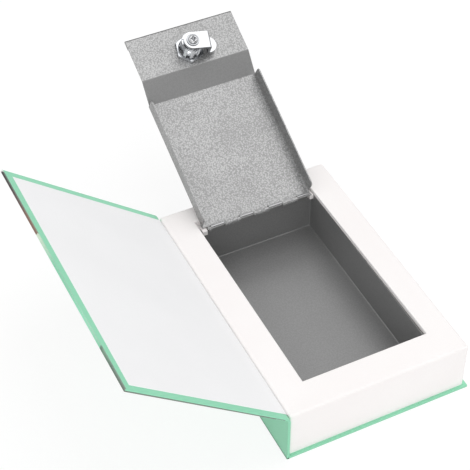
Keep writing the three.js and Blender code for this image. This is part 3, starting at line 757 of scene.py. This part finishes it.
# %% Steel box
box_inner_half_width = 52.6
box_inner_half_length = 91.5
box_half_width = box_inner_half_width + HALF_SHEET
box_half_length = box_inner_half_length + HALF_SHEET
box_centre = Vector((1.1, 1.5, 0))
box_floor_level = 2.35 + HALF_SHEET
rim_level = 43
box_corner_radius = 1.3
lid_to_lip_gap = 0.3
lip_level = hinge_point.z + lock_panel_level - HALF_SHEET - lid_to_lip_gap - HALF_SHEET
latch_level = 31.67
lip_width = 5
lip_fold = 0.7
curl_radius = 2.15
curl_angle = math.radians(110)
curl_steps = 8
shelf_level = hinge_point.z - curl_radius
knuckle_starts = [hinge_point.x + notch + knuckle_clearance for notch in notches]
strip_margin = 1.2
strip_start = knuckle_starts[0] - strip_margin
strip_end = knuckle_starts[-1] + knuckle_width
notch_level = 36

bm = bmesh.new()
slab(bm, box_centre + Vector((-box_half_width, -box_half_length, box_floor_level)),
     box_centre + Vector((box_half_width, box_half_length, rim_level)))
bmesh.ops.delete(bm, geom=[face for face in bm.faces if face.normal.z > FACING_UP], context="FACES")
round_off(bm, [edge for edge in bm.edges if len(edge.link_faces) == 2], box_corner_radius, 4)
for level in (notch_level, lip_level, shelf_level):
    bmesh.ops.bisect_plane(bm, geom=bm.verts[:] + bm.edges[:] + bm.faces[:], plane_co=(0, 0, level),
                           plane_no=(0, 0, 1))
for cut in (strip_start, strip_end):
    bmesh.ops.bisect_plane(bm, geom=bm.verts[:] + bm.edges[:] + bm.faces[:], plane_co=(cut, 0, 0),
                           plane_no=(1, 0, 0))
tail_y = box_centre.y - box_half_length
head_y = box_centre.y + box_half_length


def is_upper_end(face):
    centre = face.calc_center_median()
    tail = centre.y < tail_y + TOUCH and centre.z > lip_level
    head = centre.y > head_y - TOUCH and centre.z > shelf_level
    corner = (centre.y > head_y - box_corner_radius and centre.z > notch_level
              and not strip_start < centre.x < strip_end)
    return tail or head or corner


bmesh.ops.delete(bm, geom=[face for face in bm.faces if is_upper_end(face)], context="FACES")
lip_edge = edges_where(bm, lambda co: co.y < tail_y + TOUCH and abs(co.z - lip_level) < TOUCH)
lip_end = carry(bm, lip_edge, (0, lip_width, 0))
carry(bm, lip_end, (0, 0, latch_level - lip_level))
shelf_edge = edges_where(bm, lambda co: co.y > head_y - TOUCH and abs(co.z - shelf_level) < TOUCH)
shelf_line = hinge_point.y + curl_radius
carry(bm, shelf_edge, (0, shelf_line - head_y, 0))
round_off(bm, lip_edge + lip_end + shelf_edge, lip_fold, 3)
for start in knuckle_starts:
    for cut in (start, start + knuckle_width):
        shelf = [face for face in bm.faces
                 if face.calc_center_median().y > shelf_line - TOUCH
                 and abs(face.calc_center_median().z - shelf_level) < TOUCH]
        parts = shelf + list({edge for face in shelf for edge in face.edges})
        parts += list({vert for face in shelf for vert in face.verts})
        bmesh.ops.bisect_plane(bm, geom=parts, plane_co=(cut, 0, 0), plane_no=(1, 0, 0))


def is_knuckle(co):
    inside = any(start - TOUCH < co.x < start + knuckle_width + TOUCH for start in knuckle_starts)
    return inside and abs(co.y - shelf_line) < TOUCH and abs(co.z - shelf_level) < TOUCH


knuckle_rows = [edge for edge in edges_where(bm, is_knuckle) if edge.calc_length() < knuckle_width + TOUCH]
curled = carry(bm, knuckle_rows, (0, 0, curl_radius))
bmesh.ops.spin(bm, geom=curled, cent=hinge_point, axis=(1, 0, 0), dvec=(0, 0, 0),
               angle=curl_angle, steps=curl_steps)
round_off(bm, knuckle_rows, lip_fold, 3)
for face in bm.faces:
    face.material_index = 1 if face.calc_center_median().z > hinge_point.z + HALF_SHEET else 0
box = new_piece("box_sheet", bm, DRAWN_IN_PLACE, [box_coat_no_painted_sheen, rubbed_steel])
finish_piece(box, "case", ["steel_box"], sheet_mm=SHEET, edge_mm=SHEET_EDGE)

# %% [markdown]
# The hinge pin is a drawn wire with rounded ends. It stands a little past the lid's outermost roll
# on one side, and a little past the box's last tab on the other.

# %% Hinge pin
pin_overhang = 0.4
pin_end_rounding = 0.3
rim_angle = 1
pin_start = hinge_point.x - lid_half + land_inset - pin_overhang
pin_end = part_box("hinge_pin")[1].x / METRES_PER_MM
bm = bmesh.new()
bmesh.ops.create_cone(bm, cap_ends=True, segments=24, radius1=pin_radius, radius2=pin_radius,
                      depth=pin_end - pin_start)
round_off(bm, [edge for edge in bm.edges if edge.calc_face_angle() > rim_angle], pin_end_rounding, 3)
pin_middle = Vector(((pin_start + pin_end) / 2, hinge_point.y, hinge_point.z))
pin_place = Matrix.Translation(pin_middle) @ Matrix.Rotation(math.pi / 2, 4, "Y")
pin = new_piece("hinge_wire", bm, pin_place, drawn_wire)
finish_piece(pin, "case", ["hinge_pin"])

# %% [markdown]
# The page block of a dummy book is one moulding. It starts as a block; the top is inset, the
# inset is moved to the opening's outline and pressed down to the ledge, and from there the well is
# pressed on down to the back cover. Rounded edges come last, so that they run round the corners.

# %% Page block
block_low, block_high = (corner / METRES_PER_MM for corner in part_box("page_block"))
block_edge_radius = 2.1
opening_edge_radius = 0.7
opening_spine_x = -52.9
opening_fore_x_tail = 55.1
opening_fore_x_head = 53.4
opening_tail_y = -91.4
opening_head_y = 99.5
ledge_level = 43
well_head_y = 94.4
well_skin = 0.05
first_ledge_inset = 0.2
opening_reach_x = 60
opening_reach_y = 100

bm = bmesh.new()
slab(bm, block_low, block_high)
block_edges = [edge for edge in bm.edges if max(vert.co.z for vert in edge.verts) > block_high.z - TOUCH]
opening = [face for face in bm.faces if face.normal.z > FACING_UP]
bmesh.ops.inset_region(bm, faces=opening, thickness=opening_head_y - well_head_y)
for vert in opening[0].verts:
    head = vert.co.y > 0
    fore_x = opening_fore_x_head if head else opening_fore_x_tail
    vert.co.x = fore_x if vert.co.x > 0 else opening_spine_x
    vert.co.y = opening_head_y if head else opening_tail_y


def press(bm, faces, level):
    """Presses faces down to a level with walls behind them, and returns the pressed faces."""
    pressed = bmesh.ops.extrude_face_region(bm, geom=faces)["geom"]
    bmesh.ops.delete(bm, geom=faces, context="FACES_ONLY")
    for item in pressed:
        if isinstance(item, bmesh.types.BMVert):
            item.co.z = level
    return [item for item in pressed if isinstance(item, bmesh.types.BMFace)]


ledge = press(bm, opening, ledge_level)
bmesh.ops.inset_region(bm, faces=ledge, thickness=first_ledge_inset)
for vert in ledge[0].verts:
    vert.co.x = opening_fore_x_tail if vert.co.x > 0 else opening_spine_x
    vert.co.y = well_head_y if vert.co.y > 0 else opening_tail_y
press(bm, ledge, block_low.z + well_skin)
opening_edges = edges_where(bm, lambda co: co.z > ledge_level - TOUCH and abs(co.x) < opening_reach_x
                            and abs(co.y) < opening_reach_y)
opening_edges = [edge for edge in opening_edges if edge not in block_edges]
round_off(bm, opening_edges, opening_edge_radius, 3)
round_off(bm, [edge for edge in block_edges if edge.is_valid], block_edge_radius, 5)
block = new_piece("moulded_pages", bm, DRAWN_IN_PLACE, shell_white)
finish_piece(block, "case", ["page_block"], edge_angle=60)

# %% [markdown]
# In both notches of the box a small white lug of the moulding comes forward level with the ledge.
# What the lugs are for isn't known. They are drawn as two slabs that start inside the block.

# %% Corner lugs
lug_front_y = 88.8
lug_drop = 4.5
lug_gap = 0.3
lug_side_gap = 1.1
lug_root = 0.3
bm = bmesh.new()
for left_x, right_x in ((box_centre.x - box_half_width + HALF_SHEET + lug_side_gap, pin_start - lug_gap),
                        (strip_end + lug_gap, box_centre.x + box_half_width - HALF_SHEET)):
    slab(bm, (left_x, lug_front_y, ledge_level - lug_drop), (right_x, well_head_y + lug_root, ledge_level))
lugs = new_piece("moulded_corner_lugs", bm, DRAWN_IN_PLACE, shell_white)
finish_piece(lugs, "case", [], edge_mm=0.2)

# %% [markdown]
# A hardback's covers are boards wrapped in printed paper. The paper turns in over the edges, and a
# white endpaper is pasted over the turn-ins, a little smaller than the board, which leaves a border
# of the printed colour. Board and wrap are drawn as one rounded slab, the endpaper as a thin sheet.

# %% Covers and endpapers
wrap_corner_radius = 0.5
endpaper_thickness = 0.25
turn_in_level = -0.12
board_start = 4
edge_zone = 1
endpaper_tail = -cover_half_length + 5.5
endpaper_head = cover_half_length - 6.4
endpaper_fore_at_tail = -cover_reach + 5.9
endpaper_fore_at_head = -cover_reach + 7.5
endpaper_spine_side = -0.3
front_endpaper_corners = {
    (False, False): (endpaper_fore_at_tail, endpaper_tail),
    (False, True): (endpaper_fore_at_head, endpaper_head),
    (True, False): (endpaper_spine_side, endpaper_tail),
    (True, True): (endpaper_spine_side, endpaper_head),
}

bm = bmesh.new()
slab(bm, (-cover_reach, -cover_half_length, -cover_thickness),
     (-board_start, cover_half_length, turn_in_level))
round_off(bm, bm.edges[:], wrap_corner_radius, 3)
bm.normal_update()
sheet_map = bm.loops.layers.uv.new(SHEET_MAP)
for face in bm.faces:
    for loop in face.loops:
        spot = loop.vert.co
        depth = spot.z + cover_thickness
        over_end = depth if abs(spot.y) > cover_half_length - edge_zone else 0
        if spot.z > (turn_in_level - cover_thickness) / 2:
            across = cover_reach + depth + (spot.x + cover_reach)
        else:
            across = -spot.x + (depth if spot.x < edge_zone - cover_reach else 0)
        loop[sheet_map].uv = (across, spot.y + math.copysign(over_end, spot.y))
front_cover = new_piece("front_board_wrapped", bm, cover_place, banded_paper)
finish_piece(front_cover, "front_cover", ["front_cover_wrap", "front_board"], edge_angle=60)

bm = bmesh.new()
for vert in slab(bm, (-1, -1, -endpaper_thickness), (1, 1, 0)):
    vert.co.xy = front_endpaper_corners[vert.co.x > 0, vert.co.y > 0]
front_sheet = new_piece("front_endpaper_sheet", bm, cover_place, endpaper_paper)
finish_piece(front_sheet, "front_cover", ["front_endpaper"], edge_mm=0.06)

back_low, back_high = (corner / METRES_PER_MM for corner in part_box("back_cover_wrap"))
bm = bmesh.new()
slab(bm, back_low, back_high)
round_off(bm, bm.edges[:], wrap_corner_radius, 3)
back_cover = new_piece("back_board_wrapped", bm, DRAWN_IN_PLACE, mint_paper)
finish_piece(back_cover, "case", ["back_cover_wrap", "back_board"], edge_angle=60)

# %% [markdown]
# The spine is a narrow board in the same wrap. Above it the wrap alone makes the joint: a soft strip
# that bends with the front cover. It is drawn as the middle of the strip, folded once and rounded at
# the fold.

# %% Spine and joint
spine_low, spine_high = (corner / METRES_PER_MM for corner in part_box("spine_wrap"))
lining_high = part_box("spine_lining")[1] / METRES_PER_MM
bm = bmesh.new()
slab(bm, (spine_low.x, spine_low.y, spine_low.z), (lining_high.x, spine_high.y, spine_high.z))
outer_edges = [edge for edge in bm.edges if all(vert.co.x < spine_low.x + TOUCH for vert in edge.verts)
               or abs(edge.verts[0].co.z - edge.verts[1].co.z) > TOUCH]
round_off(bm, outer_edges, wrap_corner_radius, 3)
spine = new_piece("spine_board_wrapped", bm, DRAWN_IN_PLACE, mint_paper)
finish_piece(spine, "case", ["spine_wrap", "spine_board", "spine_lining"], edge_angle=60)

strip_thickness = 2.05
strip_fold_radius = 2.2
strip_overlap = 0.6
strip_tuck = 0.5
strip_middle = (spine_low.x + lining_high.x) / 2
cover_end = cover_place @ Vector((-board_start - strip_overlap, 0, (turn_in_level - cover_thickness) / 2))
cover_slope = math.tan(cover_raise_angle)
fold_level = cover_end.z - (strip_middle - cover_end.x) * cover_slope
bm = bmesh.new()
row = row_of(bm, [(cover_end.x, y, cover_end.z) for y in (-cover_half_length, cover_half_length)])
fold = carry(bm, row, (strip_middle - cover_end.x, 0, fold_level - cover_end.z))
carry(bm, fold, (0, 0, spine_high.z - strip_tuck - fold_level))
round_off(bm, fold, strip_fold_radius, 6)
strip = new_piece("joint_strip", bm, DRAWN_IN_PLACE, mint_paper)
finish_piece(strip, None, [], sheet_mm=strip_thickness, edge_mm=0.3)
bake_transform(strip)

paper_strip_path = [
    cover_place @ Vector((-6, 0, -0.16)), cover_place @ Vector((-0.8, 0, 0.02)),
    Vector((-77.95, 0, 46.4)), Vector((-77.6, 0, 44.6)),
]
paper_strip_thickness = 0.16
paper_fold_radius = 0.6
bm = bmesh.new()
row = row_of(bm, [(paper_strip_path[0].x, y, paper_strip_path[0].z)
                  for y in (endpaper_tail, endpaper_head)])
paper_folds = []
for last, spot in zip(paper_strip_path, paper_strip_path[1:]):
    row = carry(bm, row, spot - last)
    paper_folds += row
round_off(bm, paper_folds[:2], paper_fold_radius, 4)
paper_strip = new_piece("endpaper_joint", bm, DRAWN_IN_PLACE, endpaper_paper)
finish_piece(paper_strip, None, [], sheet_mm=paper_strip_thickness)
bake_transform(paper_strip)

# %% [markdown]
# The lock is a wafer cam lock. Its barrel is threaded and has two flats, so that it can't turn in
# its hole. The thread is a true helix: one row of teeth is spun once round, rising by one pitch, so
# that its last row meets its first. A plane then trims each end and each flat, and the cuts close.

# %% Lock barrel
barrel_radius = 9.3
barrel_end = 15
barrel_flat = 8
thread_pitch = 1.2
thread_depth = 0.5
spare_turns = 2
barrel_root = 0.2
head_radius = 10.5
head_outer = -4.3
head_inner = -1.3
head_bore = 7.9
stop_rim_inner = 7.1
stop_rim_end = 16.1
stop_rim_chamfer = 0.2


def trim(bm, point, normal):
    """Cuts away all that lies beyond a plane and closes the cut."""
    cut = bmesh.ops.bisect_plane(bm, geom=bm.verts[:] + bm.edges[:] + bm.faces[:], plane_co=point,
                                 plane_no=normal, clear_outer=True)
    edges = [item for item in cut["geom_cut"] if isinstance(item, bmesh.types.BMEdge)]
    bmesh.ops.contextual_create(bm, geom=edges)


def threaded_bar(bm, low, high):
    count = math.ceil((high - low) / thread_pitch) + 2 * spare_turns
    points = []
    for i in range(count):
        z = low + (i - spare_turns) * thread_pitch
        points += [(barrel_radius - thread_depth, 0, z), (barrel_radius, 0, z + thread_pitch / 2)]
    row = row_of(bm, points)
    steps = 64
    bmesh.ops.spin(bm, geom=row + verts_of(row), cent=(0, 0, 0), axis=(0, 0, 1),
                   dvec=(0, 0, thread_pitch / steps), angle=math.tau, steps=steps)
    bmesh.ops.remove_doubles(bm, verts=bm.verts, dist=TOUCH)
    trim(bm, (0, 0, high), (0, 0, 1))
    trim(bm, (0, 0, low), (0, 0, -1))
    trim(bm, (barrel_flat, 0, 0), (1, 0, 0))
    trim(bm, (-barrel_flat, 0, 0), (-1, 0, 0))


bm = bmesh.new()
threaded_bar(bm, head_inner - barrel_root, barrel_end)
barrel = new_piece("lock_barrel", bm, lock_place, zinc_plate)
groove_width = 3.4
groove_floor = 7.6
groove_angles = (236, 276, 56, 96)
bm = bmesh.new()
for angle in groove_angles:
    verts = slab(bm, (groove_floor, -groove_width / 2, head_inner),
                 (2 * barrel_radius, groove_width / 2, 2 * barrel_end))
    bmesh.ops.rotate(bm, verts=verts, cent=(0, 0, 0), matrix=Matrix.Rotation(math.radians(angle), 3, "Z"))
grooves = new_piece("wafer_grooves", bm, lock_place, zinc_plate)
finish_piece(barrel, "lid", ["lock_housing"], edge_angle=35, cutter=grooves)

stop_gap_start = 148.9
stop_gap_end = 277.1
bm = bmesh.new()
row = row_of(bm, [
    (stop_rim_inner, 0, barrel_end), (stop_rim_inner, 0, stop_rim_end),
    (barrel_radius - stop_rim_chamfer, 0, stop_rim_end),
    (barrel_radius, 0, stop_rim_end - stop_rim_chamfer), (barrel_radius, 0, barrel_end),
])
row.append(bm.edges.new((row[-1].verts[1], row[0].verts[0])))
bmesh.ops.contextual_create(bm, geom=row)
bmesh.ops.rotate(bm, verts=bm.verts, cent=(0, 0, 0),
                 matrix=Matrix.Rotation(math.radians(stop_gap_end), 3, "Z"))
bmesh.ops.spin(bm, geom=bm.verts[:] + bm.edges[:] + bm.faces[:], cent=(0, 0, 0), axis=(0, 0, 1),
               dvec=(0, 0, 0), angle=math.radians(360 - stop_gap_end + stop_gap_start), steps=40)
bmesh.ops.remove_doubles(bm, verts=bm.verts, dist=TOUCH)
trim(bm, (barrel_flat, 0, 0), (1, 0, 0))
trim(bm, (-barrel_flat, 0, 0), (-1, 0, 0))
rim = new_piece("lock_stop_rim", bm, lock_place, zinc_plate)
finish_piece(rim, "lid", ["lock_housing"], edge_angle=35)

head_section = [
    (head_bore, head_outer + 0.6), (8.1, head_outer), (9.4, head_outer), (10.2, head_outer + 0.4),
    (head_radius, head_outer + 1.2), (head_radius, head_inner), (head_bore, head_inner),
]
bm = bmesh.new()
turned(bm, [*head_section, head_section[0]])
lock_head = new_piece("lock_head", bm, lock_place, polished_plate)
finish_piece(lock_head, "lid", ["lock_housing"], edge_angle=35)

# %% [markdown]
# A hexagon nut is a turned ring with both faces chamfered, milled to six flats. Crossing the ring
# with a six-sided prism gives the curved chamfer lines that real nuts have.

# %% Lock nut
nut_low = 0.3
nut_high = 3.3
nut_bore = 9.6
nut_corner = 12.99
nut_chamfer_start = nut_corner - 1.2
nut_blank_radius = nut_corner + 0.6
nut_chamfer_rise = 0.7
nut_bore_chamfer = 0.6
nut_prism_height = 12
nut_turn = math.radians(17.8)
nut_section = [
    (nut_bore, nut_low), (nut_chamfer_start, nut_low), (nut_blank_radius, nut_low + nut_chamfer_rise),
    (nut_blank_radius, nut_high - nut_chamfer_rise), (nut_chamfer_start, nut_high),
    (nut_bore + nut_bore_chamfer, nut_high), (nut_bore, nut_high - nut_bore_chamfer),
]
bm = bmesh.new()
turned(bm, [*nut_section, nut_section[0]], steps=72)
nut = new_piece("lock_nut_hex", bm, lock_place, zinc_plate)
bm = bmesh.new()
bmesh.ops.create_cone(bm, cap_ends=True, segments=6, radius1=nut_corner, radius2=nut_corner,
                      depth=nut_prism_height)
cone_first_corner = math.radians(90)
prism_place = lock_place @ Matrix.Rotation(nut_turn - cone_first_corner, 4, "Z")
prism = new_piece("nut_prism", bm, prism_place, zinc_plate)
finish_piece(nut, "lid", ["lock_nut"], edge_mm=0.12, edge_angle=25, cutter=prism,
             keep="INTERSECT")

# %% [markdown]
# The cam is a steel strip with one rounded end on the plug and the other cranked down towards the
# lid, to catch under the box's lip. Each round end is half of a disc, and the strip between them is
# drawn from one to the other and folded twice.

# %% Cam
cam_sheet = 2.2
cam_level = 17.5
cam_half_width = 7.7
cam_web_x = 14.39
tongue_level = 6.4
tongue_radius = 7.5
tongue_x = 15.19
cam_fold_radius = 1.3
cam_join_distance = 0.01


def half_disc(bm, centre, radius, side):
    """Half of a flat disc on the given side of its middle, and its straight edge."""
    verts = bmesh.ops.create_circle(bm, cap_ends=True, radius=radius, segments=56)["verts"]
    bmesh.ops.translate(bm, verts=verts, vec=centre)
    disc = list({item for vert in verts for item in (vert, *vert.link_edges, *vert.link_faces)})
    cut = bmesh.ops.bisect_plane(bm, geom=disc, plane_co=centre, plane_no=(side, 0, 0), clear_inner=True)
    return [item for item in cut["geom_cut"] if isinstance(item, bmesh.types.BMEdge)]


bm = bmesh.new()
hub_row = half_disc(bm, (0, 0, cam_level), cam_half_width, -1)
upper_fold = carry(bm, hub_row, (cam_web_x, 0, 0))
lower_fold = carry(bm, upper_fold, (0, 0, tongue_level - cam_level))
for vert in verts_of(lower_fold):
    vert.co.y *= tongue_radius / cam_half_width
carry(bm, lower_fold, (tongue_x - cam_web_x, 0, 0))
half_disc(bm, (tongue_x, 0, tongue_level), tongue_radius, 1)
bmesh.ops.remove_doubles(bm, verts=bm.verts, dist=cam_join_distance)
cam_folds = edges_where(bm, lambda co: abs(co.x - cam_web_x) < TOUCH)
cam_folds = [edge for edge in cam_folds if abs(edge.verts[0].co.z - edge.verts[1].co.z) < TOUCH]
round_off(bm, cam_folds, cam_fold_radius, 4)
cam = new_piece("cam_plate", bm, turning_place, polished_plate)
finish_piece(cam, "lock_cam", ["cam"], sheet_mm=cam_sheet, edge_mm=0.6)

# %% [markdown]
# A washer and a pan-head screw hold the cam on the plug's square. The cross in the screw is cut by
# two tapered slabs, as the punch that forms a real cross recess has them.

# %% Cam washer and screw
washer_section = [
    (2.2, 18.65), (4.9, 18.65), (5.4, 18.9), (5.5, 19.15), (5.4, 19.4), (4.9, 19.6), (2.2, 19.6),
]
screw_section = [
    (0, 19.4), (4.0, 19.5), (4.3, 19.8), (4.3, 20.5), (4.05, 21.1), (3.5, 21.5), (2.4, 21.8), (0, 21.9),
]
recess_half_length = 2.9
recess_half_width = 0.65
recess_floor = 20.2
recess_top = 22.5
recess_floor_share = 0.55
bm = bmesh.new()
turned(bm, [*washer_section, washer_section[0]])
washer = new_piece("cam_washer_ring", bm, turning_place, dull_plate)
finish_piece(washer, "lock_cam", ["cam_washer"], edge_angle=35)

bm = bmesh.new()
turned(bm, screw_section)
screw = new_piece("cam_screw_head", bm, turning_place, polished_plate)
bm = bmesh.new()
for turn in (0, math.pi / 2):
    verts = slab(bm, (-recess_half_length, -recess_half_width, recess_floor),
                 (recess_half_length, recess_half_width, recess_top))
    for vert in verts:
        if vert.co.z < recess_floor + TOUCH:
            vert.co.x *= recess_floor_share
    bmesh.ops.rotate(bm, verts=verts, cent=(0, 0, 0), matrix=Matrix.Rotation(turn, 3, "Z"))
punch = new_piece("cross_punch", bm, turning_place, polished_plate)
finish_piece(screw, "lock_cam", ["cam_screw"], edge_angle=35, cutter=punch)
